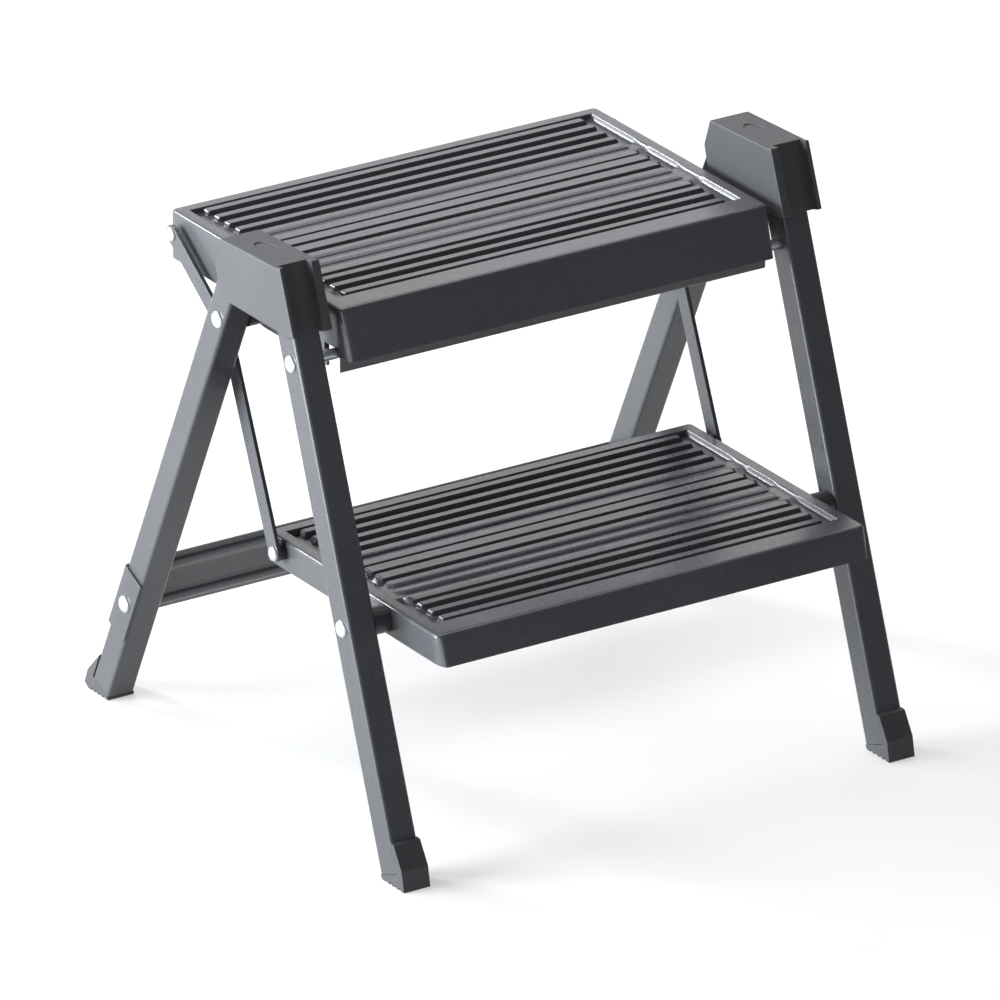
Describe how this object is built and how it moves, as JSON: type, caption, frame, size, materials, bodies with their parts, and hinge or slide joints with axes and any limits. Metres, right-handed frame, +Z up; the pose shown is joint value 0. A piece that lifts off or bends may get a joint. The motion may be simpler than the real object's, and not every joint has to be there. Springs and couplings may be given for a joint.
{
  "type": "folding step stool",
  "caption": "Folding step stool with a ribbed platform and a lower step on square tube legs, all folding flat together.",
  "frame": {"origin": "centre of the footprint, on the floor", "axes": "+Z up, the user stands at -Y and faces +Y, +X to the user's right"},
  "size_m": [0.444, 0.4276, 0.4213],
  "materials": {
    "powder_coat": "satin anthracite powder coat",
    "dark_plastic": "fine textured moulding",
    "black_nylon": "plain black bush",
    "zinc": "bright zinc plate"
  },
  "bodies": {
    "front_frame": {"front_foot_left": "dark_plastic", "front_foot_right": "dark_plastic", "front_leg_left": "powder_coat", "front_leg_right": "powder_coat", "hinge_pin_left": "zinc", "hinge_pin_right": "zinc", "leg_cap_left": "dark_plastic", "leg_cap_right": "dark_plastic", "platform_support_pin_left": "zinc", "platform_support_pin_right": "zinc", "step_bush_left": "black_nylon", "step_bush_right": "black_nylon", "step_rivet_left": "zinc", "step_rivet_right": "zinc"},
    "rear_frame": {"brace_rivet_left": "zinc", "brace_rivet_right": "zinc", "platform_bush_left": "black_nylon", "platform_bush_right": "black_nylon", "platform_rivet_left": "zinc", "platform_rivet_right": "zinc", "rear_brace": "powder_coat", "rear_foot_left": "dark_plastic", "rear_foot_right": "dark_plastic", "rear_leg_left": "powder_coat", "rear_leg_right": "powder_coat"},
    "platform": {"upper_tread": "powder_coat", "platform_underframe": "powder_coat"},
    "lower_step": {"link_lower_rivet_left": "zinc", "link_lower_rivet_right": "zinc", "link_spacer_left": "black_nylon", "link_spacer_right": "black_nylon", "lower_tread": "powder_coat"},
    "left_link": {"link_bar_left": "powder_coat", "link_upper_rivet_left": "zinc"},
    "right_link": {"link_bar_right": "powder_coat", "link_upper_rivet_right": "zinc"}
  },
  "joints": [
    {"name": "rear_frame_fold", "type": "hinge", "parent": "front_frame", "child": "rear_frame", "pos_m": [0, 0.0065, 0.402], "axis": [1, 0, 0], "range_deg": [-45.15, 0]},
    {"name": "platform_turn", "type": "hinge", "parent": "rear_frame", "child": "platform", "pos_m": [0, 0.02805, 0.3498], "axis": [1, 0, 0], "range_deg": [-66.86, 0]},
    {"name": "lower_step_turn", "type": "hinge", "parent": "front_frame", "child": "lower_step", "pos_m": [0, -0.13344, 0.172], "axis": [1, 0, 0], "range_deg": [-103.67, 0]},
    {"name": "left_link_turn", "type": "hinge", "parent": "lower_step", "child": "left_link", "pos_m": [-0.1865, 0.00066, 0.1741], "axis": [1, 0, 0], "range_deg": [0, 105.27]},
    {"name": "right_link_turn", "type": "hinge", "parent": "lower_step", "child": "right_link", "pos_m": [0.1865, 0.00066, 0.1741], "axis": [1, 0, 0], "range_deg": [0, 105.27]}
  ],
  "couplings": [
    {"joint": "platform_turn", "follows": "rear_frame_fold", "ratio": 1.4806},
    {"joint": "lower_step_turn", "follows": "rear_frame_fold", "ratio": 2.296},
    {"joint": "left_link_turn", "follows": "rear_frame_fold", "ratio": -2.3314},
    {"joint": "right_link_turn", "follows": "rear_frame_fold", "ratio": -2.3314}
  ]
}
